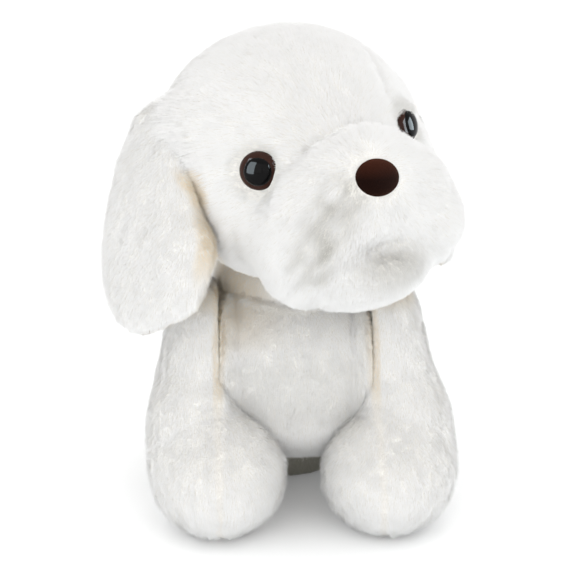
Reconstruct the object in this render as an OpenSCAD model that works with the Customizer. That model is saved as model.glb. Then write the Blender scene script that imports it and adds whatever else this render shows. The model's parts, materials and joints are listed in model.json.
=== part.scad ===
// Sitting plush puppy with hanging ears, plastic eyes and a flocked nose.
// The puppy faces -Y with its left side at +X, and the middle of its seat is the origin. Sizes are in mm.

/* [Head] */
// Width of the skull without the ears
head_w = 124; // [120:1:128]
// Depth of the skull from brow to nape
head_d = 112; // [108:1:116]
// Height of the skull from jaw to crown
head_h = 112; // [108:1:116]
// Height of the skull's centre above the ground
head_z = 156; // [154:1:160]
// Turn of the head to the puppy's left, degrees
head_turn = 25; // [21:1:29]
// Lift of the face, degrees
head_lift = 16; // [12:1:20]
// Tilt of the head towards its right ear, degrees
head_tilt = 9; // [6:1:12]

/* [Muzzle] */
// Width across both jowls
muzzle_w = 94; // [90:1:98]
// Reach of the muzzle ahead of the skull's centre
muzzle_reach = 73; // [70:1:76]
// Width of the flocked nose
nose_w = 21; // [19:0.5:23]
// Height of the flocked nose
nose_h = 17.5; // [16:0.5:19]

/* [Eyes] */
// Diameter of each eye
eye_d = 17; // [15:0.5:18]
// Diameter of the dark pupil
pupil_d = 12.5; // [11:0.5:13]
// Diameter of the stem that goes through the plush
stem_d = 4; // [3:0.5:5]

/* [Ears] */
// Length of an ear from its seam to its tip
ear_len = 87; // [83:1:91]
// Width of an ear at its fullest
ear_w = 45; // [42:1:48]
// Thickness of an ear at its fullest
ear_t = 13; // [12:0.5:15]

/* [Body] */
// Width of the body between the leg seams
chest_w = 69; // [66:1:72]
// Height of the shoulders
shoulder_z = 100; // [98:1:102]
// Depth of the rump
rump_d = 96; // [90:1:100]

/* [Legs] */
// Width across both front legs
stance_w = 134; // [131:1:137]
// Width of a front paw
paw_w = 59; // [56:1:62]
// Height of a front paw
paw_h = 47; // [45:1:49]
// Distance of the paws' middle ahead of the neck
paw_reach = 58; // [56:1:60]
// Length of the tail
tail_len = 46; // [40:1:52]

/* [Plush] */
// Thickness of the plush cloth with its backing
cloth_t = 2.4; // [2:0.1:2.8]
// Room between two pieces that move on each other
slip = 0.4; // [0.3:0.05:0.5]
// Room between a cover and its filling
fill_gap = 1.3; // [1:0.1:1.6]

/* [Hidden] */

// Softness with which neighbouring swellings melt into one another
melt = 5;
// Gap of a sewn seam between two panels
seam = 0.05;
// Room round an eye, a stem or a washer
fit = 0.3;
// Side of a block that is larger than the puppy
big = 400;
// How far inside a cover's face the filling starts
fill_depth = cloth_t + fill_gap;

plush_white = [0.95, 0.94, 0.91];
fill_white = [0.98, 0.98, 0.98];
iris_brown = [0.25, 0.12, 0.06];
pupil_black = [0.03, 0.02, 0.02];
nose_brown = [0.16, 0.11, 0.09];
washer_white = [0.9, 0.9, 0.88];

function unit(d) = d / norm(d);

// A swelling is [centre, half-sizes]. A skin is the surface of several of them, melted together.
function lobe_gap(p, lobe) =
    let (q = [for (i = [0:2]) (p[i] - lobe[0][i]) / lobe[1][i]])
    (norm(q) - 1) * min(lobe[1]);

function total(list, i = 0) = i == len(list) ? 0 : list[i] + total(list, i + 1);

function skin_gap(p, lobes) =
    -melt * ln(total([for (lobe = lobes) exp(-lobe_gap(p, lobe) / melt)]));

// Distance from c to the skin along d, found by halving; level sets the skin in or out
function reach(c, d, lobes, level, low = 0, high = 140, steps = 15) =
    let (mid = (low + high) / 2)
    steps == 0 ? mid
    : skin_gap(c + d * mid, lobes) < level ? reach(c, d, lobes, level, mid, high, steps - 1)
    : reach(c, d, lobes, level, low, mid, steps - 1);

// A station is [centre, u, v]: one ring of the skin lies in the plane of u and v
function ring(st, lobes, level, sides) = [
    for (k = [0:sides - 1])
        let (d = cos(360 * k / sides) * st[1] + sin(360 * k / sides) * st[2])
        st[0] + d * reach(st[0], d, lobes, level)
];

// Stations along a straight line through c, closer together towards both ends
function along(c, u, v, lobes, level, n) =
    let (
        t = cross(u, v),
        ahead = reach(c, t, lobes, level),
        behind = reach(c, -t, lobes, level),
        middle = c + t * (ahead - behind) / 2,
        half = (ahead + behind) / 2
    )
    [for (i = [1:n]) [middle - t * half * cos(180 * i / (n + 1)), u, v]];

module skin(stations, lobes, level, sides) {
    n = len(stations);
    first = stations[0];
    last = stations[n - 1];
    t0 = cross(first[1], first[2]);
    t1 = cross(last[1], last[2]);
    rings = [for (st = stations) each ring(st, lobes, level, sides)];
    ends = [
        first[0] - t0 * reach(first[0], -t0, lobes, level),
        last[0] + t1 * reach(last[0], t1, lobes, level)
    ];
    start = n * sides;
    walls = [
        for (i = [0:n - 2]) for (k = [0:sides - 1])
            let (a = i * sides + k, b = i * sides + (k + 1) % sides)
            each [[a, a + sides, b], [b, a + sides, b + sides]]
    ];
    caps = [
        for (k = [0:sides - 1])
            let (j = (k + 1) % sides, far = (n - 1) * sides)
            each [[start, k, j], [start + 1, far + j, far + k]]
    ];
    polyhedron(concat(rings, ends), concat(walls, caps), 8);
}

// A block that starts at the given corner and reaches past the puppy
module block(corner) {
    translate(corner)
        cube(big);
}

// Left-hand pieces are modelled, and side -1 mirrors them
module on_side(side) {
    mirror([side < 0 ? 1 : 0, 0, 0])
        children();
}

// Head: modelled upright about its own centre, then turned, lifted and tilted
head_at = [1, -40, head_z];
// The skull is stuffed a little higher on its right
crown_up = 25;
crown_x = -1;
cheek_x = 27;
head_lobes = [
    [[0, 2, 7], [head_w / 2 - 2, head_d / 2 - 2, head_h / 2 - 9]],
    [[crown_x, 4, crown_up], [head_w / 2 - 12, head_d / 2 - 10, head_h / 2 - 18.5]],
    [[cheek_x, -20, -14], [29, 30, 26]],
    [[-cheek_x, -20, -14], [29, 30, 26]]
];
head_from = [0, 0, -4];
head_rings = 21;
head_sides = 28;

module in_head() {
    translate(head_at)
        rotate([-head_lift, -head_tilt, head_turn])
            children();
}

module head_form(level, rings, sides) {
    stations = along(head_from, [1, 0, 0], [0, 1, 0], head_lobes, level, rings);
    skin(stations, head_lobes, level, sides);
}

module head_outside(level) {
    head_form(level, head_rings, head_sides);
}

module head_inside(depth) {
    head_form(-depth, 12, 18);
}

// Neck: a firm ball of filling that the head and the body are sewn over
neck_at = [0, -26, 102];
neck_r = 30;

module neck_room() {
    translate(neck_at)
        sphere(neck_r + slip, $fn = 64);
}

// The muzzle is sewn over a round opening, in a plane that leans back below the brow
seat_lean = 30;
seat_out = 45;

module ahead_of_seat(gap) {
    rotate([seat_lean, 0, 0])
        block([-big / 2, -big - seat_out - gap, -big / 2]);
}

module behind_seat() {
    rotate([seat_lean, 0, 0])
        block([-big / 2, -seat_out - seam, -big / 2]);
}

// Muzzle: the broad base, the bridge, two jowls and the tip that carries the nose
jowl_x = 24;
muzzle_lobes = [
    [[0, -43, -16], [muzzle_w / 2 - 5, 30, 23]],
    [[0, -45, -2], [25, 26, 19]],
    [[jowl_x, -42, -33], [muzzle_w / 2 - jowl_x, 26, 25]],
    [[-jowl_x, -42, -33], [muzzle_w / 2 - jowl_x, 26, 25]],
    [[0, 19 - muzzle_reach, -14], [18, 17, 17]]
];
muzzle_from = [0, -50, -18];
chin_lobes = [[[0, -46, -48], [32, 25, 16]]];

module muzzle_form(level, rings, sides) {
    stations = along(muzzle_from, [1, 0, 0], [0, 0, 1], muzzle_lobes, level, rings);
    skin(stations, muzzle_lobes, level, sides);
}

module muzzle_outside(level) {
    muzzle_form(level, 14, 24);
}

module muzzle_inside(depth) {
    muzzle_form(-depth, 9, 16);
}

// Washer behind the cloth that keeps a stem in place
washer_d = 12;
washer_t = 1.6;
washer_slack = 2.2;
washer_back = cloth_t + washer_t + washer_slack;
stem_len = 13;
stem_end = 0.5;

module washer() {
    color(washer_white)
        translate([0, 0, -washer_back])
            difference() {
                cylinder(h = washer_t, d = washer_d, $fn = 48);
                translate([0, 0, -1])
                    cylinder(h = washer_t + 2, d = stem_d + 2 * seam, $fn = 32);
            }
}

module washer_room() {
    translate([0, 0, -washer_back - fit])
        cylinder(h = washer_t + 2 * fit, d = washer_d + 2 * fit, $fn = 48);
}

module stem_room() {
    translate([0, 0, -stem_len - 1])
        cylinder(h = stem_len + 2, d = stem_d + 2 * fit, $fn = 32);
}

// Eyes: a brown rim round a domed dark pupil, whose stem goes through the cloth
eye_dir = [0.63, -0.777, 0.01];
eye_from = [0, 2, 6];
eye_sink = 2;
iris_rim = 1;
iris_dome = 4;
pupil_rim = 4.6;
pupil_dome = 2;
eye_room_h = 12;

module at_eye(side) {
    d = unit([side * eye_dir[0], eye_dir[1], eye_dir[2]]);
    translate(eye_from + d * (reach(eye_from, d, head_lobes, 0) - eye_sink))
        rotate([0, acos(d[2]), atan2(d[1], d[0])])
            children();
}

module eye_room(side) {
    at_eye(side) {
        cylinder(h = eye_room_h, d = eye_d + 2 * fit, $fn = 48);
        stem_room();
    }
}

module eye_iris(side) {
    inner = pupil_d / 2 + seam;
    outer = eye_d / 2;
    dome = [for (a = [0:10:90]) [inner + (outer - inner) * cos(a), iris_rim + iris_dome * sin(a)]];
    color(iris_brown)
        in_head()
            at_eye(side)
                translate([0, 0, seam])
                    rotate_extrude($fn = 64)
                        polygon(concat([[inner, 0], [outer, 0]], dome));
}

module eye_pupil(side) {
    stem = [[0, -stem_len], [stem_d / 2 - stem_end, -stem_len], [stem_d / 2, stem_end - stem_len]];
    back = [[stem_d / 2, seam], [pupil_d / 2, seam]];
    dome = [for (a = [0:10:90]) [pupil_d / 2 * cos(a), pupil_rim + pupil_dome * sin(a)]];
    color(pupil_black)
        in_head()
            at_eye(side)
                rotate_extrude($fn = 64)
                    polygon(concat(stem, back, dome));
}

module eye_washer(side) {
    in_head()
        at_eye(side)
            washer();
}

// Nose: a flocked pad on the front of the muzzle, with a stem and a washer like the eyes
nose_from = [0, -50, -12];
nose_dir = unit([0, -1, 0.14]);
nose_sink = 2;
nose_t = 5.5;
nose_lobes = [[[0, 0, 0], [nose_w / 2, nose_h / 2, nose_t]]];

module at_nose() {
    translate(nose_from + nose_dir * (reach(nose_from, nose_dir, muzzle_lobes, 0) - nose_sink))
        rotate([90 - asin(nose_dir[2]), 0, 0])
            children();
}

module nose_room() {
    at_nose() {
        cylinder(h = eye_room_h, d = nose_h - 2 * nose_sink, $fn = 48);
        stem_room();
    }
}

module nose() {
    color(nose_brown)
        in_head()
            at_nose() {
                translate([0, 0, nose_sink + fit])
                    intersection() {
                        skin(along([0, 0, 0], [1, 0, 0], [0, 1, 0], nose_lobes, 0, 11), nose_lobes, 0, 24);
                        block([-big / 2, -big / 2, 0]);
                    }
                translate([0, 0, -stem_len])
                    cylinder(h = stem_len + nose_sink + 1, d = stem_d, $fn = 32);
            }
}

module nose_washer() {
    in_head()
        at_nose()
            washer();
}

module head_cover() {
    color(plush_white)
        difference() {
            in_head()
                difference() {
                    head_outside(0);
                    head_inside(cloth_t);
                    ahead_of_seat(0);
                    eye_room(1);
                    eye_room(-1);
                }
            neck_room();
        }
}

module head_filling() {
    color(fill_white)
        difference() {
            in_head()
                difference() {
                    head_inside(fill_depth);
                    ahead_of_seat(-fit);
                    for (side = [1, -1]) {
                        eye_room(side);
                        at_eye(side)
                            washer_room();
                    }
                }
            neck_room();
        }
}

module muzzle_cover() {
    color(plush_white)
        in_head()
            difference() {
                muzzle_outside(0);
                muzzle_inside(cloth_t);
                behind_seat();
                nose_room();
            }
}

module muzzle_filling() {
    color(fill_white)
        in_head()
            difference() {
                muzzle_inside(fill_depth);
                behind_seat();
                nose_room();
                at_nose()
                    washer_room();
            }
}

module chin_pad() {
    chin_at = chin_lobes[0][0];
    color(plush_white)
        in_head()
            difference() {
                skin(along(chin_at, [1, 0, 0], [0, 0, 1], chin_lobes, 0, 8), chin_lobes, 0, 16);
                muzzle_outside(fit);
                head_outside(fit);
            }
}

// Ears: two panels round a soft filling, hung from a seam high on the side of the head
ear_root = [51, 2, 28];
// How much higher the right ear is sewn on, and the left one lower
ear_shift = 2.5;
// Lean of an ear away from the head's side, and the share of the head's tilt that each ear makes up
ear_spread = 18;
ear_drop = 11;
// Turn that lets the ear's broad face follow the cheek
ear_face = 24;
// How far the tip of the ear swings forwards of its middle
ear_bend = 9;
// Offset of the ear's rim from the middle of its thickness
ear_split = 1.5;
ear_lobes = [
    [[1, 0, -10], [ear_t / 2 - 1, ear_w * 0.36, 16]],
    [[3, ear_bend * 0.4, -ear_len * 0.4], [ear_t / 2, ear_w * 0.36, ear_len * 0.32]],
    [[0, -ear_bend * 0.6, -ear_len * 0.69], [ear_t / 2 + 1, ear_w / 2 - 1, ear_len * 0.29]]
];
ear_from = [2, 0, -ear_len * 0.45];

module at_ear(side) {
    on_side(side)
        translate(ear_root - [0, 0, side * ear_shift])
            rotate([0, side * ear_drop - ear_spread, 0])
                rotate([0, 0, -ear_face])
                    children();
}

module ear_form(level, rings, sides) {
    stations = along(ear_from, [1, 0, 0], [0, 1, 0], ear_lobes, level, rings);
    skin(stations, ear_lobes, level, sides);
}

module ear_outside(side) {
    difference() {
        at_ear(side)
            ear_form(0, 14, 20);
        head_outside(slip);
    }
}

module ear_inside(side, depth) {
    difference() {
        at_ear(side)
            ear_form(-depth, 9, 12);
        head_outside(slip + depth);
    }
}

module ear_shell(side) {
    difference() {
        ear_outside(side);
        ear_inside(side, cloth_t);
    }
}

module ear_outer(side) {
    color(plush_white)
        in_head()
            intersection() {
                ear_shell(side);
                at_ear(side)
                    block([ear_split, -big / 2, -big / 2]);
            }
}

module ear_lining(side) {
    color(plush_white)
        in_head()
            difference() {
                ear_shell(side);
                at_ear(side)
                    block([ear_split - seam, -big / 2, -big / 2]);
            }
}

module ear_filling(side) {
    color(fill_white)
        in_head()
            ear_inside(side, fill_depth);
}

module neck_plug() {
    color(fill_white)
        translate(neck_at)
            sphere(neck_r, $fn = 64);
}

// Tail: a short tapered tail whose round root sits in a hollow of the rump
tail_root = [0, rump_d / 2 + 4, 36];
tail_r = 14.5;
tail_rise = 40;
tail_lobes = [
    [[0, 0, 0], [tail_r - 4, tail_r - 4, tail_r - 4]],
    [[0, 10, 8], [11, 12, 12]],
    [[0, tail_len * 0.5, tail_len * 0.42], [9, 11, 12]]
];
tail_from = [0, 8, 7];

module tail_form(level, rings, sides) {
    back = [0, sin(tail_rise), -cos(tail_rise)];
    skin(along(tail_from, [1, 0, 0], back, tail_lobes, level, rings), tail_lobes, level, sides);
}

module tail_cover() {
    color(plush_white)
        translate(tail_root)
            difference() {
                tail_form(0, 12, 16);
                tail_form(-cloth_t, 8, 12);
            }
}

module tail_filling() {
    color(fill_white)
        translate(tail_root)
            tail_form(-fill_depth, 8, 12);
}

module tail_room() {
    translate(tail_root)
        sphere(tail_r + slip, $fn = 48);
}

// Body: chest, breast, back, rump, seat and nape, flattened at the sides where the legs are sewn on
flat_x = chest_w / 2;
breast_x = 20;
body_lobes = [
    [[0, -28, 64], [31, 40, shoulder_z - 60]],
    [[breast_x, -41, 61], [22, 27, shoulder_z - 62]],
    [[-breast_x, -41, 61], [22, 27, shoulder_z - 62]],
    [[0, -8, 60], [28, 42, 38]],
    [[0, 0, 38], [33, rump_d / 2, 37]],
    [[0, 4, 14.5], [31, 38, 15]],
    [[0, -16, 91], [31, 29, 18]]
];
body_from = [0, -18, 48];
// The seam between the chest panel and the rest of the cover
chest_back_y = -42;

module body_form(level, rings, sides, inset) {
    stations = along(body_from, [1, 0, 0], [0, 1, 0], body_lobes, level, rings);
    half = flat_x - inset;
    intersection() {
        skin(stations, body_lobes, level, sides);
        translate([-half, -big / 2, inset])
            cube([2 * half, big, big]);
    }
}

module body_inside(depth) {
    body_form(-depth, 12, 16, depth);
}

module body_shell() {
    difference() {
        body_form(0, 20, 24, 0);
        body_inside(cloth_t);
        neck_room();
        tail_room();
    }
}

module body_cover() {
    color(plush_white)
        intersection() {
            body_shell();
            block([-big / 2, chest_back_y, -big / 2]);
        }
}

module chest_panel() {
    color(plush_white)
        intersection() {
            body_shell();
            block([-big / 2, chest_back_y - seam - big, -big / 2]);
        }
}

module body_filling() {
    color(fill_white)
        difference() {
            body_inside(fill_depth);
            neck_room();
            tail_room();
        }
}

// Front legs: an upper leg that bends forwards into a large paw; the seam runs down the middle of the paw
leg_x = stance_w / 2 - 20;
paw_x = 36;
paw_y = neck_at[1] - paw_reach;
paw_back_y = -70;
leg_lobes = [
    [[leg_x - 4, -46, shoulder_z - 30], [15, 22, 31]],
    [[leg_x, -54, 40], [17.5, 25, 26]],
    [[paw_x, paw_y, paw_h / 2 - 2], [paw_w / 2 - 1, 31, paw_h / 2 - 0.7]]
];
// Splay of the legs, and how much more the left one has than the right one, degrees
leg_splay = 1.5;
leg_sway = 2;
// The rings fan round this line where the leg bends into the paw
bend_y = -90;
bend_z = 54;
shin_y = -50;

function leg_stations(level, n, bend) =
    let (
        x = [1, 0, 0],
        top = [leg_x, shin_y, bend_z],
        low = [paw_x + 1, bend_y, paw_h / 2 - 2],
        up = reach(top, [0, 0, 1], leg_lobes, level),
        front = reach(low, [0, -1, 0], leg_lobes, level)
    )
    concat(
        [for (i = [1:n]) [top + [0, 0, up * cos(90 * i / n)], x, [0, -1, 0]]],
        [
            for (i = [1:bend])
                let (
                    f = i / (bend + 1),
                    v = [0, -cos(90 * f), sin(90 * f)],
                    across = top[0] + (low[0] - top[0]) * f,
                    away = (shin_y - bend_y) * (1 - f) + (bend_z - low[2]) * f
                )
                [[across, bend_y, bend_z] - v * away, x, v]
        ],
        [for (i = [0:n - 1]) [low - [0, front * sin(90 * i / n), 0], x, [0, 0, 1]]]
    );

module leg_form(level, n, bend, sides, inset, side) {
    difference() {
        intersection() {
            translate([leg_x, 0, shoulder_z])
                rotate([0, -leg_splay - side * leg_sway, 0])
                    translate([-leg_x, 0, -shoulder_z])
                        skin(leg_stations(level, n, bend), leg_lobes, level, sides);
            block([-big / 2, -big / 2, inset]);
        }
        block([flat_x + slip + inset - big, paw_back_y - inset, -big / 2]);
    }
}

module leg_inside(depth, side) {
    leg_form(-depth, 4, 4, 14, depth, side);
}

module leg_shell(side) {
    difference() {
        leg_form(0, 6, 5, 20, 0, side);
        leg_inside(cloth_t, side);
    }
}

module front_leg_outer(side) {
    color(plush_white)
        on_side(side)
            intersection() {
                leg_shell(side);
                block([paw_x, -big / 2, -big / 2]);
            }
}

module front_leg_inner(side) {
    color(plush_white)
        on_side(side)
            intersection() {
                leg_shell(side);
                block([paw_x - seam - big, -big / 2, -big / 2]);
            }
}

module front_leg_filling(side) {
    color(fill_white)
        on_side(side)
            leg_inside(fill_depth, side);
}

// Hind legs: a folded thigh with a short foot, sewn flat against the rump
hind_lobes = [
    [[38, 10, 33], [25, 31, 31]],
    [[49, -6, 11.5], [14, 23, 12]]
];
hind_from = [44, 6, 24];

module hind_form(level, rings, sides, inset) {
    stations = along(hind_from, [1, 0, 0], [0, 1, 0], hind_lobes, level, rings);
    intersection() {
        skin(stations, hind_lobes, level, sides);
        block([flat_x + slip + inset, -big / 2, inset]);
    }
}

module hind_inside(depth) {
    hind_form(-depth, 9, 12, depth);
}

module hind_leg_cover(side) {
    color(plush_white)
        on_side(side)
            difference() {
                hind_form(0, 14, 18, 0);
                hind_inside(cloth_t);
            }
}

module hind_leg_filling(side) {
    color(fill_white)
        on_side(side)
            hind_inside(fill_depth);
}

head_cover();
head_filling();
muzzle_cover();
muzzle_filling();
chin_pad();
eye_iris(1);  // left_eye_iris
eye_pupil(1);  // left_eye_pupil
eye_washer(1);  // left_eye_washer
eye_iris(-1);  // right_eye_iris
eye_pupil(-1);  // right_eye_pupil
eye_washer(-1);  // right_eye_washer
nose();
nose_washer();
ear_outer(1);  // left_ear_outer
ear_lining(1);  // left_ear_lining
ear_filling(1);  // left_ear_filling
ear_outer(-1);  // right_ear_outer
ear_lining(-1);  // right_ear_lining
ear_filling(-1);  // right_ear_filling
neck_plug();
body_cover();
chest_panel();
body_filling();
front_leg_outer(1);  // left_front_leg_outer
front_leg_inner(1);  // left_front_leg_inner
front_leg_filling(1);  // left_front_leg_filling
front_leg_outer(-1);  // right_front_leg_outer
front_leg_inner(-1);  // right_front_leg_inner
front_leg_filling(-1);  // right_front_leg_filling
hind_leg_cover(1);  // left_hind_leg_cover
hind_leg_filling(1);  // left_hind_leg_filling
hind_leg_cover(-1);  // right_hind_leg_cover
hind_leg_filling(-1);  // right_hind_leg_filling
tail_cover();
tail_filling();
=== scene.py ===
import json
import math
import bpy
import numpy as np
from mathutils import Euler, Matrix, Vector


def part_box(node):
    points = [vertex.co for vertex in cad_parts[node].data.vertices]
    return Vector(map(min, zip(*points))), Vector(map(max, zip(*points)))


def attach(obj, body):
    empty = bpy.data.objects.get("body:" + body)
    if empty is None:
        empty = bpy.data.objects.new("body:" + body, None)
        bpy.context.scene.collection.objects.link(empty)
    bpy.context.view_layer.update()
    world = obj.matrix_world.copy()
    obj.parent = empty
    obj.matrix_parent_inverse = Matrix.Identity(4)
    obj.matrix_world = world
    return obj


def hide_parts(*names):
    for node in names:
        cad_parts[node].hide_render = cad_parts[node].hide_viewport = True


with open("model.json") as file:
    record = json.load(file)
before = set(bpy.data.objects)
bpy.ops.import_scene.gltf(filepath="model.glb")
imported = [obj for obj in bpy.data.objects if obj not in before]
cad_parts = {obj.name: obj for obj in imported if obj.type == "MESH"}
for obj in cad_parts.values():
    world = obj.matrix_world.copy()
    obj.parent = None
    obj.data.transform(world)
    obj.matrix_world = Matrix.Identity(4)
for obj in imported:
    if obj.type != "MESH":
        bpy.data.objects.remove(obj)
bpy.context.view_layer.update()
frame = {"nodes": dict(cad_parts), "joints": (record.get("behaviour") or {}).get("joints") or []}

mm = 0.001


# Camera: a long lens a metre away, a little above the puppy and a touch to its right,
# as a soft toy is photographed for a shop.
view_target = Vector((-0.0032, -0.0358, 0.0989))
view_turn = math.radians(-3.5)
view_rise = math.radians(18)
view_distance = 1.0
view_width = 0.2613
view_back = Vector((
    math.sin(view_turn) * math.cos(view_rise),
    -math.cos(view_turn) * math.cos(view_rise),
    math.sin(view_rise),
))
bpy.ops.object.camera_add(location=view_target + view_back * view_distance)
camera = bpy.context.object
camera.rotation_euler = view_back.to_track_quat("Z", "Y").to_euler()
camera.data.sensor_width = 36
camera.data.lens = camera.data.sensor_width * view_distance / view_width
bpy.context.scene.camera = camera


# Studio: a white paper floor under an even white room, with two broad soft lamps in front
# and a tall white card at each side, which shows only as a gleam in the eyes.
def lamp(name, place, size, watts, colour):
    aim = view_target - Vector(place)
    bpy.ops.object.light_add(type="AREA", location=place)
    made = bpy.context.object
    made.name = name
    made.rotation_euler = aim.to_track_quat("-Z", "Y").to_euler()
    made.data.shape = "RECTANGLE"
    made.data.size, made.data.size_y = size
    made.data.energy = watts
    made.data.color = colour
    return made


def painted(name):
    """A new material, its node tree and its Principled shader."""
    made = bpy.data.materials.new(name)
    made.use_nodes = True
    return made, made.node_tree, made.node_tree.nodes["Principled BSDF"]


room_light = 1.06
lamp("soft_lamp_left", (-0.6, -1.3, 0.6), (1.1, 1.1), 2.3, (1.0, 0.99, 0.97))
lamp("soft_lamp_right", (0.5, -1.3, 0.6), (1.1, 1.1), 1.7, (1.0, 0.99, 0.97))
for name, place, size, watts in (
    ("white_card_left", (-0.74, -0.59, 0.37), (0.7, 1.1), 40),
    ("white_card_right", (0.95, -0.20, 0.25), (0.8, 1.0), 55),
):
    gleam = lamp(name, place, size, watts, (0.80, 0.93, 1.0))
    gleam.visible_diffuse = False

room = bpy.data.worlds.new("white_room")
bpy.context.scene.world = room
room.use_nodes = True
links = room.node_tree.links
sky = room.node_tree.nodes["Background"]
rays = room.node_tree.nodes.new("ShaderNodeLightPath")
seen = room.node_tree.nodes.new("ShaderNodeMath")
seen.operation = "MAXIMUM"
links.new(rays.outputs["Is Camera Ray"], seen.inputs[0])
links.new(rays.outputs["Is Glossy Ray"], seen.inputs[1])
either = room.node_tree.nodes.new("ShaderNodeMath")
either.operation = "MAXIMUM"
links.new(seen.outputs[0], either.inputs[0])
links.new(rays.outputs["Is Transmission Ray"], either.inputs[1])
level = room.node_tree.nodes.new("ShaderNodeMapRange")
level.inputs["To Min"].default_value = room_light
level.inputs["To Max"].default_value = 1.0
links.new(either.outputs[0], level.inputs["Value"])
links.new(level.outputs["Result"], sky.inputs["Strength"])
sky.inputs["Color"].default_value = (1, 1, 1, 1)
bpy.context.scene.view_settings.view_transform = "Standard"

bpy.ops.mesh.primitive_plane_add(size=8, location=(0, 0, -0.4 * mm))
floor = bpy.context.object
floor.name = "paper_floor"
paper, paper_nodes, paper_shader = painted("white_paper")
paper_shader.inputs["Base Color"].default_value = (0.97, 0.97, 0.97, 1)
paper_shader.inputs["Roughness"].default_value = 0.9
paper_shader.inputs["Emission Color"].default_value = (1, 1, 1, 1)
paper_rays = paper_nodes.nodes.new("ShaderNodeLightPath")
paper_glow = paper_nodes.nodes.new("ShaderNodeMath")
paper_glow.operation = "MULTIPLY"
paper_glow.inputs[1].default_value = 0.14
paper_nodes.links.new(paper_rays.outputs["Is Camera Ray"], paper_glow.inputs[0])
paper_nodes.links.new(paper_glow.outputs[0], paper_shader.inputs["Emission Strength"])
floor.data.materials.append(paper)


# Body: the chest panel and the body's cover, sewn together and filled with polyester fibre.
# White plush on a cream knitted backing, with the pile brushed downwards.
def points_of(piece):
    co = np.empty(len(piece.data.vertices) * 3, np.float32)
    piece.data.vertices.foreach_get("co", co)
    return co.reshape(-1, 3).astype(float)


def normals_of(piece):
    no = np.empty(len(piece.data.vertices) * 3, np.float32)
    piece.data.vertex_normals.foreach_get("vector", no)
    return no.reshape(-1, 3).astype(float)


def move_points(piece, co):
    piece.data.vertices.foreach_set("co", co.astype(np.float32).ravel())
    piece.data.update()


def lengths(v):
    return np.linalg.norm(v, axis=-1, keepdims=True)


def unit(v):
    return v / np.maximum(lengths(v), 1e-9)


def fade(x, near, far):
    """0 up to near, 1 from far on, smooth between."""
    t = np.clip((x - near) / (far - near), 0, 1)
    return t * t * (3 - 2 * t)


def wander(points, size, seed, waves=14):
    """Smooth random vectors of about unit size that change over the given distance."""
    dice = np.random.default_rng(seed)
    out = np.zeros((len(points), 3))
    for axis in range(3):
        turn = unit(dice.normal(size=(waves, 3))) * dice.uniform(0.6, 1.5, (waves, 1)) * 2 * math.pi / size
        out[:, axis] = np.cos(points @ turn.T + dice.uniform(0, 6.28, waves)).sum(1) * math.sqrt(2 / waves)
    return out


def sewn_skin(name, nodes, voxel, inset, rounds):
    """One closed skin from copies of the solids that make up a stuffed part."""
    bpy.ops.object.select_all(action="DESELECT")
    for node in nodes:
        piece = frame["nodes"][node].copy()
        piece.data = piece.data.copy()
        piece.parent = None
        for key in list(piece.keys()):
            del piece[key]
        bpy.context.collection.objects.link(piece)
        piece.select_set(True)
    bpy.context.view_layer.objects.active = piece
    bpy.ops.object.join()
    piece.name = name
    piece.data.name = name
    piece.data.materials.clear()
    bpy.ops.object.mode_set(mode="EDIT")
    bpy.ops.mesh.select_all(action="SELECT")
    bpy.ops.mesh.remove_doubles(threshold=0.01 * mm)
    bpy.ops.object.mode_set(mode="OBJECT")
    piece.data.remesh_voxel_size = voxel
    bpy.ops.object.voxel_remesh()
    smooth = piece.modifiers.new("ease_facets", "SMOOTH")
    smooth.factor = 0.5
    smooth.iterations = rounds
    bpy.ops.object.modifier_apply(modifier=smooth.name)
    bpy.ops.object.shade_smooth()
    move_points(piece, points_of(piece) - normals_of(piece) * inset)
    return piece


plumpness = 0.65
stuffing_pressure = 4.0
stuffing_frames = 20


def stuff(piece, swell, seam=None):
    """Plump the skin up after some frames of pressure from inside; seam picks the held points."""
    rest = points_of(piece)
    plump = rest + normals_of(piece) * swell * plumpness
    held = piece.vertex_groups.new(name="seam")
    if seam is not None:
        held.add([int(i) for i in np.nonzero(seam(rest))[0]], 1.0, "ADD")
    cloth = piece.modifiers.new("stuffing", "CLOTH")
    cloth.settings.use_pressure = True
    cloth.settings.uniform_pressure_force = stuffing_pressure
    cloth.settings.effector_weights.gravity = 0
    cloth.settings.vertex_group_mass = held.name
    cloth.settings.quality = 4
    for number in range(1, stuffing_frames + 1):
        bpy.context.scene.frame_set(number)
    puffed = piece.evaluated_get(bpy.context.evaluated_depsgraph_get())
    step = points_of(puffed) - rest
    piece.modifiers.remove(cloth)
    piece.vertex_groups.clear()
    move_points(piece, plump + step * np.minimum(1, swell / np.maximum(lengths(step), 1e-9)))
    bpy.context.scene.frame_set(1)


def finer(piece):
    bpy.context.view_layer.objects.active = piece
    denser = piece.modifiers.new("finer", "SUBSURF")
    denser.levels = denser.render_levels = 1
    bpy.ops.object.modifier_apply(modifier=denser.name)


def knitted_backing():
    """Cream knitted cloth, a little darker than the pile's white as painted shade at the foot of the pile,
    which shows only where the pile parts.
    """
    made, tree, shader = painted("knitted_backing")
    place = tree.nodes.new("ShaderNodeTexCoord")
    knit = tree.nodes.new("ShaderNodeTexNoise")
    knit.inputs["Scale"].default_value = 900
    tint = tree.nodes.new("ShaderNodeValToRGB")
    tint.color_ramp.elements[0].color = (0.86, 0.84, 0.79, 1)
    tint.color_ramp.elements[1].color = (0.90, 0.88, 0.84, 1)
    bump = tree.nodes.new("ShaderNodeBump")
    bump.inputs["Distance"].default_value = 0.4 * mm
    tree.links.new(place.outputs["Object"], knit.inputs["Vector"])
    tree.links.new(knit.outputs["Fac"], tint.inputs["Fac"])
    tree.links.new(tint.outputs["Color"], shader.inputs["Base Color"])
    tree.links.new(knit.outputs["Fac"], bump.inputs["Height"])
    tree.links.new(bump.outputs["Normal"], shader.inputs["Normal"])
    shader.inputs["Roughness"].default_value = 0.95
    return made


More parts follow.
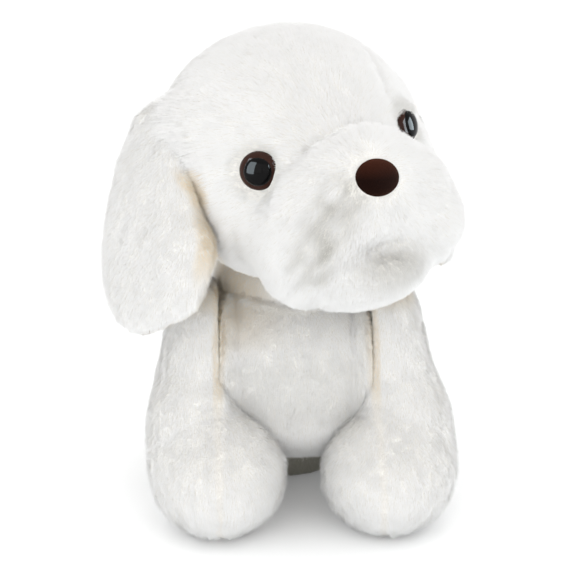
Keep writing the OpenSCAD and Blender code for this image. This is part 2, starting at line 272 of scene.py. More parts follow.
def white_pile():
    """White plush fibre with painted shade: u runs from painted tan shade by way of white to painted grey
    shade, and v to the tip, with warmer, darker roots as painted shade deep in the pile.
    """
    made, tree, shader = painted("white_pile")
    uv = tree.nodes.new("ShaderNodeUVMap")
    uv.uv_map = "OFBake"
    split = tree.nodes.new("ShaderNodeSeparateXYZ")
    tree.links.new(uv.outputs["UV"], split.inputs["Vector"])
    ramps = []
    for tan, white, grey in (pile_root, pile_tip):
        ramp = tree.nodes.new("ShaderNodeValToRGB")
        ramp.color_ramp.elements.new(0.5)
        for stop, colour in zip(ramp.color_ramp.elements, (tan, white, grey)):
            stop.color = (*colour, 1)
        tree.links.new(split.outputs["X"], ramp.inputs["Fac"])
        ramps.append(ramp)
    rise = tree.nodes.new("ShaderNodeMapRange")
    rise.interpolation_type = "SMOOTHSTEP"
    rise.inputs["From Min"].default_value = 0.05
    rise.inputs["From Max"].default_value = 0.5
    tree.links.new(split.outputs["Y"], rise.inputs["Value"])
    mix = tree.nodes.new("ShaderNodeMix")
    mix.data_type = "RGBA"
    tree.links.new(rise.outputs["Result"], mix.inputs["Factor"])
    tree.links.new(ramps[0].outputs["Color"], mix.inputs["A"])
    tree.links.new(ramps[1].outputs["Color"], mix.inputs["B"])
    tree.links.new(mix.outputs["Result"], shader.inputs["Base Color"])
    shader.inputs["Roughness"].default_value = 0.85
    shader.inputs["Specular IOR Level"].default_value = 0.02
    return made


# Root and tip colours, each tan, white and grey: the tan and grey are painted shade, and the darker roots
# are painted shade deep in the pile.
pile_root = (0.78, 0.62, 0.40), (0.985, 0.97, 0.94), (0.28, 0.26, 0.20)
pile_tip = (0.88, 0.76, 0.57), (0.992, 0.99, 0.985), (0.38, 0.36, 0.29)
backing = knitted_backing()
fibre = white_pile()
fibre_length = 3.6 * mm
fibre_half = 0.16 * mm
fibre_roll = 0.25
fibre_root = 0.4 * mm
fibre_lean, fibre_stray = 2.2, 0.2
tuft_size, tuft_ruffle = 12 * mm, 0.10
tuft_uneven, fibre_uneven = 0.09, 0.10


def plain(points):
    return np.ones(len(points))


def downwards(points):
    return np.tile((0.0, 0.0, -1.0), (len(points), 1))


def grow_pile(name, skin, body, per_mm2, seed, nap=downwards, trim=plain, shade=None):
    """Fibres all over a skin, as thin blades that face outwards.

    nap gives the way they are brushed, trim their share of the full length, with none below
    a tenth, and shade the painted shade in their tone, from -1 for tan shade to 1 for grey shade."""
    dice = np.random.default_rng(seed)
    mesh = skin.data
    mesh.calc_loop_triangles()
    corners = np.empty(len(mesh.loop_triangles) * 3, np.int32)
    mesh.loop_triangles.foreach_get("vertices", corners)
    corners = corners.reshape(-1, 3)
    co, no = points_of(skin), normals_of(skin)
    a, b, c = (co[corners[:, k]] for k in range(3))
    area = lengths(np.cross(b - a, c - a))[:, 0] / 2
    count = int(area.sum() * 1e6 * per_mm2)
    which = np.searchsorted(np.cumsum(area) / area.sum(), dice.random(count))
    u, v = dice.random((2, count, 1))
    flip = u + v > 1
    u, v = np.where(flip, 1 - u, u), np.where(flip, 1 - v, v)
    weights = np.concatenate([1 - u - v, u, v], 1)
    roots = np.einsum("ij,ijk->ik", weights, co[corners[which]])
    up = unit(np.einsum("ij,ijk->ik", weights, no[corners[which]]))
    share = trim(roots)
    keep = (share > 0.1) & (dice.random(count) < np.clip(share * 2, 0.3, 1))
    roots, up, share = roots[keep], up[keep], share[keep]
    n = len(roots)
    brush = nap(roots) + tuft_ruffle * wander(roots, tuft_size, seed + 1)
    brush = unit(brush - up * (brush * up).sum(1, keepdims=True))
    way = unit(up + fibre_lean * brush + fibre_stray * dice.normal(size=(n, 3)))
    tall = 1 + tuft_uneven * wander(roots, tuft_size * 0.7, seed + 2)[:, :1]
    tall = tall + fibre_uneven * dice.normal(size=(n, 1))
    reach = fibre_length * share[:, None] * np.clip(tall, 0.5, 1.4)
    side = unit(np.cross(way, up) + fibre_roll * up * dice.normal(size=(n, 1)))
    side = unit(side - way * (side * way).sum(1, keepdims=True))
    blade = np.empty((n, 3, 3))
    blade[:, 0] = roots - up * fibre_root + side * fibre_half
    blade[:, 1] = roots - up * fibre_root - side * fibre_half
    blade[:, 2] = roots + way * reach
    blade[:, :, 2] = np.maximum(blade[:, :, 2], 0)
    out = (np.cross(blade[:, 1] - blade[:, 0], blade[:, 2] - blade[:, 0]) * up).sum(1) < 0
    blade[out, :2] = blade[out, 1::-1]
    made = bpy.data.meshes.new(name)
    made.vertices.add(n * 3)
    made.vertices.foreach_set("co", blade.astype(np.float32).ravel())
    made.loops.add(n * 3)
    made.loops.foreach_set("vertex_index", np.arange(n * 3, dtype=np.int32))
    made.polygons.add(n)
    made.polygons.foreach_set("loop_start", np.arange(0, n * 3, 3, dtype=np.int32))
    # The tone's painted shade comes from the shade mask, with a little random tone on top.
    tone = np.zeros(n) if shade is None else shade(roots)
    tone = np.clip(0.5 + 0.46 * tone + 0.02 * dice.normal(size=n), 0.03, 0.97)
    flat = np.empty((n, 3, 2))
    flat[:, :, 0] = tone[:, None] + np.array([-0.01, 0.01, 0])
    flat[:, :, 1] = (0.02, 0.02, 0.98)
    uv = made.uv_layers.new(name="OFBake")
    uv.data.foreach_set("uv", flat.astype(np.float32).ravel())
    made.update(calc_edges=True)
    made.polygons.foreach_set("use_smooth", np.ones(n, bool))
    made.normals_split_custom_set_from_vertices(np.repeat(up, 3, axis=0).tolist())
    made.materials.append(fibre)
    piece = bpy.data.objects.new(name, made)
    bpy.context.collection.objects.link(piece)
    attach(piece, body)
    return piece


def finish_skin(skin, body, nodes):
    skin.data.materials.append(backing)
    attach(skin, body)
    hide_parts(*nodes)


side_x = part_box("body_cover")[1].x
neck_place = np.array(next(j["pos_m"] for j in frame["joints"] if j["name"] == "head_turn"))
neck_r = (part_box("neck_plug")[1].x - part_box("neck_plug")[0].x) / 2


def trim_body(p):
    under_leg = fade(np.abs(p[:, 0]), side_x - 1.6 * mm, side_x - 0.8 * mm)
    in_neck = 1 - fade(lengths(p - neck_place)[:, 0], neck_r - 1 * mm, neck_r + 0.6 * mm)
    on_floor = 1 - fade(p[:, 2], 0.5 * mm, 4 * mm)
    return (1 - 0.7 * under_leg) * (1 - in_neck) * (1 - 0.7 * on_floor)


def brushed_body(p):
    """Downwards, over the seams with the legs at the sides, and up into the neck at the top."""
    corner = fade(np.abs(p[:, :1]), side_x - 7 * mm, side_x - 2 * mm)
    collar = 1 - fade(lengths(p - neck_place), neck_r + 1 * mm, neck_r + 9 * mm)
    sideways = np.sign(p[:, :1]) * np.array([[1.0, 0, 0]])
    return downwards(p) * (1 - collar) + 1.2 * corner * sideways + 1.5 * collar * unit(neck_place - p)


def painted_shade_body(p):
    """Painted shade: grey in the middle of the chest, where the head shades it, a dark painted shadow
    underneath, and tan shade in the seams and at the collar.
    """
    low = 1 - fade(p[:, 2], 21 * mm, 27 * mm)
    chest = fade(-p[:, 1], 40 * mm, 60 * mm)
    corner = fade(np.abs(p[:, 0]), side_x - 5 * mm, side_x - 1 * mm)
    collar = fade(p[:, 2], 70 * mm, 98 * mm) * fade(-p[:, 0], -5 * mm, 30 * mm)
    collar = collar * fade(-p[:, 1], 26 * mm, 40 * mm)
    middle = fade(p[:, 2], 36 * mm, 52 * mm) * (1 - fade(p[:, 2], 70 * mm, 84 * mm))
    # low paints the shadow under the belly, corner the shade in the side seams, and collar the shade at
    # the neck.
    return 0.2 * chest * middle + 0.95 * low * (p[:, 1] < 0) - 0.6 * corner * chest - 0.6 * collar


chest_fill = 5 * mm
corner_fill = 8 * mm
belly_fill = 8 * mm
sole_z = 1.3 * mm
body_nodes = ["body_cover", "chest_panel", "body_filling"]
body = sewn_skin("body_skin", body_nodes, 3.5 * mm, 1.2 * mm, 8)
stuff(body, 1.4 * mm)
finer(body)
p = points_of(body)
front = fade(-normals_of(body)[:, 1], 0.1, 0.7)
corner = fade(np.abs(p[:, 0]), side_x - 9 * mm, side_x - 3 * mm) * front * fade(p[:, 2], 10 * mm, 30 * mm)
p[:, 0] += 0.9 * corner * np.sign(p[:, 0]) * np.maximum(side_x - np.abs(p[:, 0]), 0)
chest = front * fade(p[:, 2], 24 * mm, 44 * mm) * (1 - fade(p[:, 2], 60 * mm, 104 * mm))
p[:, 1] -= chest_fill * chest
p[:, 1] -= corner_fill * corner * (1 + 0.6 * fade(p[:, 2], 70 * mm, 92 * mm))
belly = fade(p[:, 2], 20 * mm, 28 * mm) * (1 - fade(p[:, 2], 30 * mm, 55 * mm))
p[:, 1] -= belly_fill * belly * fade(-normals_of(body)[:, 1], 0.1, 0.6)
p[:, 2] = np.maximum(p[:, 2], sole_z)
move_points(body, p)
finish_skin(body, "torso", body_nodes)
grow_pile("chest_pile", body, "torso", 5, 11, nap=brushed_body, shade=painted_shade_body,
          trim=lambda p: trim_body(p) * (p[:, 1] < -20 * mm))
grow_pile("back_pile", body, "torso", 5, 13, nap=brushed_body, shade=painted_shade_body,
          trim=lambda p: trim_body(p) * (p[:, 1] >= -20 * mm))


# Neck: the gathered opening where head and body are sewn together, over a firm plug of filling.
# The same white plush, with painted tan shade at the front, where the ear lies on it.
neck_stretch = np.array([1.2, 1.1, 1.0])


# Painted tan shade at the front of the neck, under the ear.
def painted_shade_neck(p):
    return -0.7 * fade(-p[:, 0], 0, 26 * mm) * fade(-p[:, 1], 26 * mm, 40 * mm)


neck = sewn_skin("neck_skin", ["neck_plug"], 3.5 * mm, 0.5 * mm, 2)
finer(neck)
move_points(neck, neck_place + (points_of(neck) - neck_place) * neck_stretch)
finish_skin(neck, "neck", ["neck_plug"])
grow_pile("neck_pile", neck, "neck", 4, 17, shade=painted_shade_neck,
          trim=lambda p: fade(p[:, 2], 80 * mm, 84 * mm))


# Front legs: an outer and an inner panel that meet in a seam over the middle of the paw.
# Stuffed firmly, and sewn flat to the sides of the chest.
paw_seam_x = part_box("left_front_leg_outer")[0].x
shoulder_fill = 5 * mm
instep_place, instep_half = (-80 * mm, 52 * mm), (17 * mm, 23 * mm)
instep_fill = 8 * mm


def on_paw_seam(p):
    off_seam = np.abs(np.abs(p[:, 0]) - paw_seam_x)
    return (1 - fade(off_seam, 0.4 * mm, 2.6 * mm)) * fade(-p[:, 1], 60 * mm, 76 * mm)


def trim_leg(p):
    flat = 1 - fade(np.abs(p[:, 0]), side_x + 0.9 * mm, side_x + 1.8 * mm)
    flat = flat * fade(p[:, 1], -70 * mm, -66 * mm)
    on_floor = 1 - fade(p[:, 2], 0.5 * mm, 4 * mm)
    return (1 - 0.7 * flat) * (1 - 0.7 * on_floor) * (1 - 0.3 * on_paw_seam(p))


def painted_shade_leg(p):
    """Painted tan shade along the seam with the chest, at the shoulder under the ear and head, and faintly
    along the paw's seam.
    """
    beside_chest = 1 - fade(np.abs(np.abs(p[:, 0]) - side_x - 1 * mm), 1 * mm, 3 * mm)
    beside_chest = beside_chest * fade(p[:, 2], 52 * mm, 66 * mm)
    shoulder = fade(p[:, 2], 94 * mm, 104 * mm) * fade(-p[:, 1], 45 * mm, 60 * mm)
    return -0.15 * on_paw_seam(p) - 0.5 * beside_chest - 0.6 * shoulder


def brushed_leg(p):
    """Down the leg and out over the toes, and across the seam with the chest."""
    corner = 1 - fade(np.abs(p[:, :1]), side_x + 2 * mm, side_x + 7 * mm)
    corner = corner * fade(p[:, 1:2], -74 * mm, -64 * mm)
    return np.array([0, -0.45, -0.9]) - 1.2 * corner * np.sign(p[:, :1]) * np.array([[1.0, 0, 0]])


def held_seam(p):
    """The points along the paw's middle seam, which the stuffing can't push out."""
    return (np.abs(np.abs(p[:, 0]) - paw_seam_x) < 2 * mm) & (p[:, 1] < -74 * mm)


for side, seed in (("left", 21), ("right", 31)):
    leg_nodes = [f"{side}_front_leg_{part}" for part in ("outer", "inner", "filling")]
    leg = sewn_skin(f"{side}_front_leg_skin", leg_nodes, 3 * mm, 1.2 * mm, 8)
    stuff(leg, 2.6 * mm, seam=held_seam)
    finer(leg)
    p = points_of(leg)
    across, height = np.abs(p[:, 0]), p[:, 2].copy()
    facing = fade(-normals_of(leg)[:, 1], 0.05, 0.55)
    instep = np.exp(-(((p[:, 1:] - instep_place) / instep_half) ** 2).sum(1))
    p += instep_fill * normals_of(leg) * instep[:, None]
    p[:, 1] -= shoulder_fill * fade(height, 52 * mm, 84 * mm) * facing
    p[:, 2] += 1.4 * shoulder_fill * fade(height, 66 * mm, 96 * mm)
    inner = (1 - fade(across, side_x + 3 * mm, side_x + 9 * mm)) * facing * fade(height, 42 * mm, 56 * mm)
    p[:, 0] -= 0.8 * inner * np.sign(p[:, 0]) * np.maximum(across - side_x - 0.5 * mm, 0)
    p[:, 2] = np.maximum(p[:, 2], sole_z)
    move_points(leg, p)
    finish_skin(leg, f"{side}_front_leg", leg_nodes)
    grow_pile(f"{side}_front_leg_pile", leg, f"{side}_front_leg", 5, seed, nap=brushed_leg, trim=trim_leg,
              shade=painted_shade_leg)


# Hind legs: folded thighs with short feet, in the same white plush.
# Each is one stuffed cover, sewn flat to the side of the rump.
def trim_hind(p):
    flat = 1 - fade(np.abs(p[:, 0]), side_x + 0.9 * mm, side_x + 1.8 * mm)
    on_floor = 1 - fade(p[:, 2], 0.5 * mm, 4 * mm)
    return (1 - 0.7 * flat) * (1 - 0.7 * on_floor)


for side, seed in (("left", 41), ("right", 51)):
    hind_nodes = [f"{side}_hind_leg_{part}" for part in ("cover", "filling")]
    hind = sewn_skin(f"{side}_hind_leg_skin", hind_nodes, 3 * mm, 1.2 * mm, 8)
    stuff(hind, 1.8 * mm)
    finer(hind)
    p = points_of(hind)
    p[:, 2] = np.maximum(p[:, 2], sole_z)
    move_points(hind, p)
    finish_skin(hind, f"{side}_hind_leg", hind_nodes)
    grow_pile(f"{side}_hind_leg_pile", hind, f"{side}_hind_leg", 5, seed, nap=brushed_leg, trim=trim_hind)


# Tail: a short tube of white plush, stuffed softly.
# Its round root is sewn into the seam of the rump.
tail_nodes = ["tail_cover", "tail_filling"]
tail = sewn_skin("tail_skin", tail_nodes, 2.5 * mm, 1.0 * mm, 6)
stuff(tail, 1.4 * mm)
finer(tail)
finish_skin(tail, "tail", tail_nodes)
grow_pile("tail_pile", tail, "tail", 5, 61)


# Head: skull and muzzle covers and a chin pad, sewn together and filled firmly.
# The white pile is brushed back from the nose, and is rough below it, where grey shade is painted.
head_place = np.array([1, -40, 156]) * mm
head_turned = np.array(Euler((math.radians(-16), math.radians(-9), math.radians(25))).to_matrix())


def in_head(p):
    """Points in the head's own upright frame, x to its left and -y ahead."""
    return (p - head_place) @ head_turned


def centre_of(node):
    low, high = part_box(node)
    return np.array((low + high) / 2)


nose_tilt = 0.14
nose_rise, eye_rise = 7.7 * mm, 5.4 * mm
nose_way = head_turned @ (np.array([0, -1, nose_tilt]) / math.hypot(1, nose_tilt))
nose_base = centre_of("nose_washer") + nose_way * nose_rise
eye_way, eye_seat = {}, {}
for side in ("left", "right"):
    eye_way[side] = unit(centre_of(f"{side}_eye_iris") - centre_of(f"{side}_eye_washer"))
    eye_seat[side] = centre_of(f"{side}_eye_washer") + eye_way[side] * eye_rise
eye_r = 8.5 * mm
nose_rx, nose_rz = 10.1 * mm, 8.1 * mm
seat_lean, seat_ahead = math.radians(30), 45 * mm
lid_z = 9.5 * mm
eye_reach, nose_reach = 12 * mm, 14 * mm


def off_axis(p, seat, way):
    along = (p - seat) @ way
    return lengths(p - seat - along[:, None] * way)[:, 0], along


def ahead_of_seat(p):
    """How far points lie ahead of the plane where the muzzle is sewn on."""
    q = in_head(p)
    return -q[:, 1] * math.cos(seat_lean) - q[:, 2] * math.sin(seat_lean) - seat_ahead


def brushed_back(p):
    """Away from the nose, and down the back of the head."""
    away = unit(p - (nose_base - nose_way * 12 * mm))
    behind = fade(in_head(p)[:, 1:2], -18 * mm, 14 * mm)
    return away * (1 - behind) + (0.35 + 0.65 * behind) * downwards(p)


def one_side(q):
    """Points in the head's frame, all brought to its left side."""
    return np.abs(q) * np.array([1, 0, 0]) + q * np.array([0, 1, 1])


def trim_face(p):
    """Short round the eyes and the nose, none under them, and long over the seams of the ears."""
    share = np.ones(len(p))
    for side in ("left", "right"):
        off, along = off_axis(p, eye_seat[side], eye_way[side])
        if side == "left":
            off = off + eye_r * (in_head(p)[:, 2] > lid_z)
        round_eye = 0.5 * fade(off, eye_r - 0.2 * mm, eye_r + 5 * mm) + 0.5 * (off > eye_r)
        share = np.where(np.abs(along) < eye_reach, np.minimum(share, round_eye), share)
    q = in_head(p) - in_head(nose_base[None])
    on_nose = np.hypot(q[:, 0] / nose_rx, q[:, 2] / nose_rz)
    round_nose = 0.55 * (on_nose > 0.93) + 0.45 * fade(on_nose, 0.93, 1.6)
    share = np.where(np.abs(q[:, 1]) < nose_reach, np.minimum(share, round_nose), share)
    in_neck = 1 - fade(lengths(p - neck_place)[:, 0], neck_r, neck_r + 2.5 * mm)
    over_ear = 1 - fade(line_distance(one_side(in_head(p)), ear_seam), 3 * mm, 10 * mm)
    return share * (1 - in_neck) * (1 + 1.4 * over_ear)


def painted_shade_face(p):
    """Painted shade: grey below the nose, round the eyes and under the lip, and tan in the crease where
    the ears fold.
    """
    q = in_head(p)
    under_nose = 1 - fade(line_distance(q, under_nose_shade_line), 4 * mm, 15 * mm)
    out = 0.38 * under_nose * (0.85 + 0.25 * wander(p, 9 * mm, 5)[:, 0])
    for side in ("left", "right"):
        off, along = off_axis(p, eye_seat[side], eye_way[side])
        out = out + 0.3 * (1 - fade(off, eye_r + 1 * mm, eye_r + 6 * mm)) * (np.abs(along) < eye_reach)
    out = np.clip(out, 0, 1)
    fold = 1 - fade(line_distance(one_side(q), ear_fold_shade_line), 1.5 * mm, 5.5 * mm)
    out = out - np.where(q[:, 0] < 0, 0.8, 0.3) * fold
    # Painted grey shade under the lip.
    return out + swelling(q, (2, -68, -47), (18, 14, 9), 0.4)


def line_distance(q, places):
    """How far points lie from a chain of straight lines."""
    near = np.full(len(q), np.inf)
    for a, b in zip(places[:-1], places[1:]):
        a, b = np.array(a) * mm, np.array(b) * mm
        t = np.clip((q - a) @ (b - a) / ((b - a) @ (b - a)), 0, 1)
        near = np.minimum(near, lengths(q - a - t[:, None] * (b - a))[:, 0])
    return near


def hollow(q, places, depth, width):
    return -depth * np.exp(-(line_distance(q, places) / width) ** 2)


def swelling(q, centre, half, height):
    return height * np.exp(-(((q - np.array(centre) * mm) / (np.array(half) * mm)) ** 2).sum(1))


brow_line = (37, -23, 41), (34, -36, 31), (31, -42, 22)
bridge_line = (0, -52, 13), (12, -51, 12), (22, -50, 9)
furrow = (-7, -40, 36), (-11, -46, 25)
jowl_line = (36, -46, -4), (45, -40, -6), (50, -35, -14), (50, -27, -27)
lip_line = (
    (-36, -55, -45), (-25, -65, -41), (-6, -65, -36), (8, -64, -38),
    (17, -66, -36), (27, -66, -34), (37, -56, -34),
)
mouth_line = (-6, -65, -38), (3, -66, -40)
# The line under the nose, along which grey shade is painted.
under_nose_shade_line = (-14, -74, -12), (-21, -72, -19), (-29, -68, -27), (-34, -64, -36)
ear_seam = (50, -2, 42), (55, -9, 36), (57, -15, 29), (57, -18, 21), (56, -20, 14)
# The crease where the ears fold, along which tan shade is painted.
ear_fold_shade_line = (56, -21, 10), (56, -23, 2), (57, -22, -8), (57, -15, -18), (53, -12, -30)


def face_forms(q):
    """Height to add to the skin in the head's frame: what both sides share, then each side's own."""
    out = np.zeros(len(q))
    for flip in (1, -1):
        m = q * np.array([flip, 1, 1])
        out += hollow(m, brow_line, 1.6 * mm, 4 * mm)
        out -= hollow(m, bridge_line, 1.5 * mm, 7 * mm)
        out += hollow(m, jowl_line, 2.2 * mm, 4.5 * mm)
        out += swelling(m, (40, -46, -30), (15, 18, 18), 1 * mm)
        out += swelling(m, (22, -40, 36), (14, 14, 10), 1.5 * mm)
    out += swelling(q, (-54, -8, 30), (9, 12, 16), 4 * mm)
    out += swelling(q, (-51, 0, 42), (8, 10, 8), 2.5 * mm)
    out += swelling(q, (-29, -49, 1), (7, 8, 8), 2.5 * mm)
    out += swelling(q, (40, -44, 12), (8, 8, 4.5), 7 * mm)
    out += swelling(q, (37, -62, -38), (12, 14, 14), 4.5 * mm)
    out += swelling(q, (37, -62, -13), (10, 12, 10), 2 * mm)
    out += hollow(q, furrow, 1.8 * mm, 5 * mm)
    out += hollow(q, lip_line, 1.4 * mm, 3.5 * mm)
    out += hollow(q, mouth_line, 3 * mm, 5 * mm)
    return out


head_nodes = ["head_cover", "head_filling", "muzzle_cover", "muzzle_filling", "chin_pad"]
head = sewn_skin("head_skin", head_nodes, 3 * mm, 1.0 * mm, 7)
stuff(head, 1.4 * mm)
finer(head)
eased = 1 - fade(line_distance(one_side(in_head(points_of(head))), bridge_line), 5 * mm, 13 * mm)
bridge = head.vertex_groups.new(name="bridge")
for number in np.nonzero(eased)[0]:
    bridge.add([int(number)], eased[number], "REPLACE")
smooth = head.modifiers.new("ease_bridge", "SMOOTH")
smooth.vertex_group = bridge.name
smooth.factor = 0.5
smooth.iterations = 40
bpy.ops.object.modifier_apply(modifier=smooth.name)
head.vertex_groups.clear()
p = points_of(head)
move_points(head, p + normals_of(head) * face_forms(in_head(p))[:, None])
finish_skin(head, "head", head_nodes)
grow_pile("left_head_pile", head, "head", 5.5, 71, nap=brushed_back, shade=painted_shade_face,
          trim=lambda p: trim_face(p) * (ahead_of_seat(p) < 0) * (in_head(p)[:, 0] >= 0))
grow_pile("right_head_pile", head, "head", 5.5, 73, nap=brushed_back, shade=painted_shade_face,
          trim=lambda p: trim_face(p) * (ahead_of_seat(p) < 0) * (in_head(p)[:, 0] < 0))
grow_pile("muzzle_pile", head, "head", 6, 81, nap=brushed_back, shade=painted_shade_face,
          trim=lambda p: trim_face(p) * (ahead_of_seat(p) >= 0))


# Ears: an outer panel and a lining of white plush round a thin filling, with painted tan shade along the
# front rim.
# Each hangs from a seam high on the head, and widens towards its tip.
ear_root, ear_shift = np.array([51, 2, 28]) * mm, np.array([0, 0, 2.5]) * mm
ear_spread, ear_drop, ear_face = 18, 11, 24
ear_rim_x = 1.5 * mm
ear_fill, root_fill = 9 * mm, 2 * mm


def ear_turn(way):
    """How an ear is turned on the head; way is 1 for the left one and -1 for the right one."""
    turned = Matrix.Rotation(math.radians(way * ear_drop - ear_spread), 3, "Y")
    return np.array(turned @ Matrix.Rotation(math.radians(-ear_face), 3, "Z"))


def in_ear(p, way):
    """Points in an ear's own frame, its root at the origin, x outwards and z up along it."""
    return (in_head(p) * np.array([way, 1, 1]) - ear_root + way * ear_shift) @ ear_turn(way)


def rim_shade_mask(q):
    """1 on the front rim of an ear, below its root, where tan shade is painted, and faintly on the lining
    behind it.
    """
    down = -q[:, 2]
    rim_y = -17 * mm - 11 * mm * fade(down, 15 * mm, 35 * mm) - ear_fill * fade(down, 30 * mm, 52 * mm)
    rim = (1 - fade(q[:, 1] - rim_y, 1 * mm, 4.5 * mm)) * (1 - fade(down, 46 * mm, 72 * mm))
    lining = 0.3 * (1 - fade(q[:, 0], ear_rim_x - 3 * mm, ear_rim_x + 1 * mm))
    return np.maximum(rim, lining) * fade(down, 14 * mm, 24 * mm)


for side, seed in (("left", 101), ("right", 111)):
    ear_nodes = [f"{side}_ear_{part}" for part in ("outer", "lining", "filling")]
    ear = sewn_skin(f"{side}_ear_skin", ear_nodes, 2.5 * mm, 0.8 * mm, 7)
    stuff(ear, 1.6 * mm)
    finer(ear)
    way = 1 if side == "left" else -1
    p = points_of(ear)
    q = in_ear(p, way)
    ahead = head_turned @ (np.array([way, 1, 1]) * ear_turn(way)[:, 1])
    lower = fade(-q[:, 2], 30 * mm, 52 * mm) * (1 - fade(-q[:, 2], 74 * mm, 90 * mm))
    p -= ear_fill * (lower * fade(-q[:, 1], -5 * mm, 22 * mm))[:, None] * ahead
    if side == "right":
        p += root_fill * fade(q[:, 2], -6 * mm, 4 * mm)[:, None] * normals_of(ear)
    move_points(ear, p)
    finish_skin(ear, f"{side}_ear", ear_nodes)
    # Tan shade is painted along the ear's front rim and faintly on its lining.
    grow_pile(f"{side}_ear_pile", ear, f"{side}_ear", 5.5, seed,
              shade=lambda p: -0.9 * rim_shade_mask(in_ear(p, way)))


# Eyes: a ring of polished brown plastic under a domed black pupil.
# Each is pushed through the cloth on a stem, and held by a washer behind it.
def aimed(piece, seat, way):
    """Put a piece that was made along +Z at a seat, along a way, and apply its place."""
    z = Vector(way).normalized()
    x = Vector((0, 0, 1)).cross(z).normalized()
    turn = Matrix((x, z.cross(x), z)).transposed().to_4x4()
    piece.data.transform(Matrix.Translation(Vector(seat)) @ turn)
    piece.data.update()


def dome(name, half, low):
    """The upper part of an ellipsoid with the given half-sizes, raised by low."""
    bpy.ops.object.select_all(action="DESELECT")
    bpy.ops.mesh.primitive_uv_sphere_add(segments=64, ring_count=32, radius=1)
    piece = bpy.context.object
    piece.name = name
    piece.data.name = name
    piece.scale = half
    bpy.ops.object.transform_apply(location=False, rotation=False, scale=True)
    bpy.ops.object.mode_set(mode="EDIT")
    bpy.ops.mesh.select_all(action="SELECT")
    bpy.ops.mesh.bisect(plane_co=(0, 0, 0), plane_no=(0, 0, 1), clear_inner=True, use_fill=True)
    bpy.ops.mesh.select_all(action="SELECT")
    bpy.ops.transform.translate(value=(0, 0, low))
    bpy.ops.object.mode_set(mode="OBJECT")
    bpy.ops.object.shade_smooth_by_angle(angle=math.radians(50))
    return piece


def polished(name, dark, light, scale):
    made, tree, shader = painted(name)
    place = tree.nodes.new("ShaderNodeTexCoord")
    cloud = tree.nodes.new("ShaderNodeTexNoise")
    cloud.inputs["Scale"].default_value = scale
    tint = tree.nodes.new("ShaderNodeValToRGB")
    tint.color_ramp.elements[0].color = (*dark, 1)
    tint.color_ramp.elements[1].color = (*light, 1)
    tree.links.new(place.outputs["Object"], cloud.inputs["Vector"])
    tree.links.new(cloud.outputs["Fac"], tint.inputs["Fac"])
    tree.links.new(tint.outputs["Color"], shader.inputs["Base Color"])
    shader.inputs["Roughness"].default_value = 0.06
    shader.inputs["Specular IOR Level"].default_value = 0.12
    return made


iris_colour = polished("brown_iris", (0.026, 0.010, 0.007), (0.045, 0.017, 0.011), 500)
pupil_colour = polished("black_pupil", (0.0010, 0.0010, 0.0012), (0.0020, 0.0018, 0.0018), 300)
for side in ("left", "right"):
    iris = dome(f"{side}_iris_ring", (eye_r, eye_r, 4.6 * mm), 0.4 * mm)
    aimed(iris, eye_seat[side], eye_way[side])
    iris.data.materials.append(iris_colour)
    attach(iris, "head")
    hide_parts(f"{side}_eye_iris")
    pupil = dome(f"{side}_pupil_dome", (6.2 * mm, 6.2 * mm, 2.9 * mm), 3.2 * mm)
    aimed(pupil, eye_seat[side], eye_way[side])
    pupil.data.materials.append(pupil_colour)
    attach(pupil, "head")
    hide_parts(f"{side}_eye_pupil")


# Nose: an oval plastic pad covered in short brown flock, with painted light that makes it lighter at the
# top.
# It is pushed through the muzzle on a stem, and held by a washer.
nose = dome("flocked_nose", (nose_rx, nose_rz, 5.6 * mm), -1.2 * mm)
aimed(nose, nose_base, nose_way)
flock, flock_tree, flock_shader = painted("brown_flock")
flock_place = flock_tree.nodes.new("ShaderNodeTexCoord")
flock_grain = flock_tree.nodes.new("ShaderNodeTexNoise")
flock_grain.inputs["Scale"].default_value = 2200
flock_split = flock_tree.nodes.new("ShaderNodeSeparateXYZ")
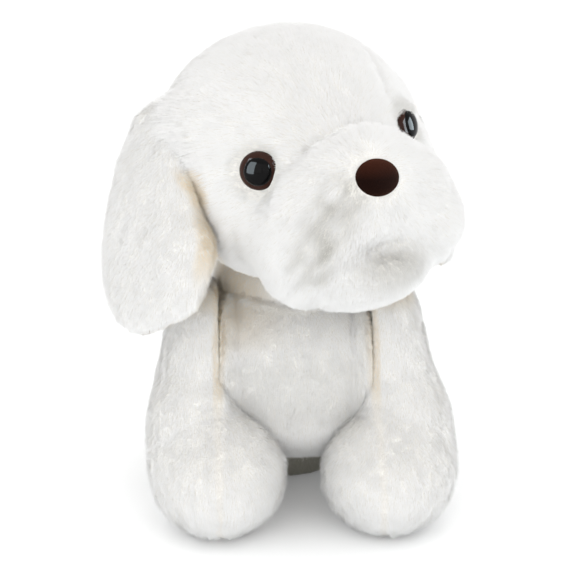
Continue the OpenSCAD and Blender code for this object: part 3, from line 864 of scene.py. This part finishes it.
# Painted light: the flock gets lighter towards the top of the nose and darker towards its bottom, as if
# lit from above, with some grain.
flock_light_from_top = flock_tree.nodes.new("ShaderNodeMapRange")
flock_light_from_top.inputs["From Min"].default_value = nose_base[2]
flock_light_from_top.inputs["From Max"].default_value = nose_base[2] + 12 * mm
flock_grain_and_light = flock_tree.nodes.new("ShaderNodeMath")
flock_grain_and_light.operation = "MULTIPLY_ADD"
flock_grain_and_light.inputs[1].default_value = 0.15
flock_grain_and_light_tint = flock_tree.nodes.new("ShaderNodeValToRGB")
flock_grain_and_light_tint.color_ramp.elements[0].color = (0.004, 0.0014, 0.0010, 1)
flock_grain_and_light_tint.color_ramp.elements[1].color = (0.060, 0.016, 0.008, 1)
flock_tree.links.new(flock_place.outputs["Object"], flock_split.inputs["Vector"])
flock_tree.links.new(flock_split.outputs["Z"], flock_light_from_top.inputs["Value"])
flock_tree.links.new(flock_grain.outputs["Fac"], flock_grain_and_light.inputs[0])
flock_tree.links.new(flock_light_from_top.outputs["Result"], flock_grain_and_light.inputs[2])
flock_bump = flock_tree.nodes.new("ShaderNodeBump")
flock_bump.inputs["Distance"].default_value = 0.3 * mm
flock_tree.links.new(flock_place.outputs["Object"], flock_grain.inputs["Vector"])
flock_tree.links.new(flock_grain_and_light.outputs[0], flock_grain_and_light_tint.inputs["Fac"])
flock_tree.links.new(flock_grain_and_light_tint.outputs["Color"], flock_shader.inputs["Base Color"])
flock_tree.links.new(flock_grain.outputs["Fac"], flock_bump.inputs["Height"])
flock_tree.links.new(flock_bump.outputs["Normal"], flock_shader.inputs["Normal"])
flock_shader.inputs["Roughness"].default_value = 0.9
flock_shader.inputs["Specular IOR Level"].default_value = 0.02
flock_shader.inputs["Sheen Weight"].default_value = 0.12
flock_shader.inputs["Sheen Tint"].default_value = (0.6, 0.25, 0.15, 1)
nose.data.materials.append(flock)
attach(nose, "head")
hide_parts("nose")


# Washers: white moulded plastic discs behind the cloth.
# Each is pressed on a stem, and holds an eye or the nose.
moulded = polished("white_washer", (0.82, 0.82, 0.79), (0.9, 0.9, 0.87), 400)
for node in ("left_eye_washer", "right_eye_washer", "nose_washer"):
    frame["nodes"][node].data.materials.clear()
    frame["nodes"][node].data.materials.append(moulded)
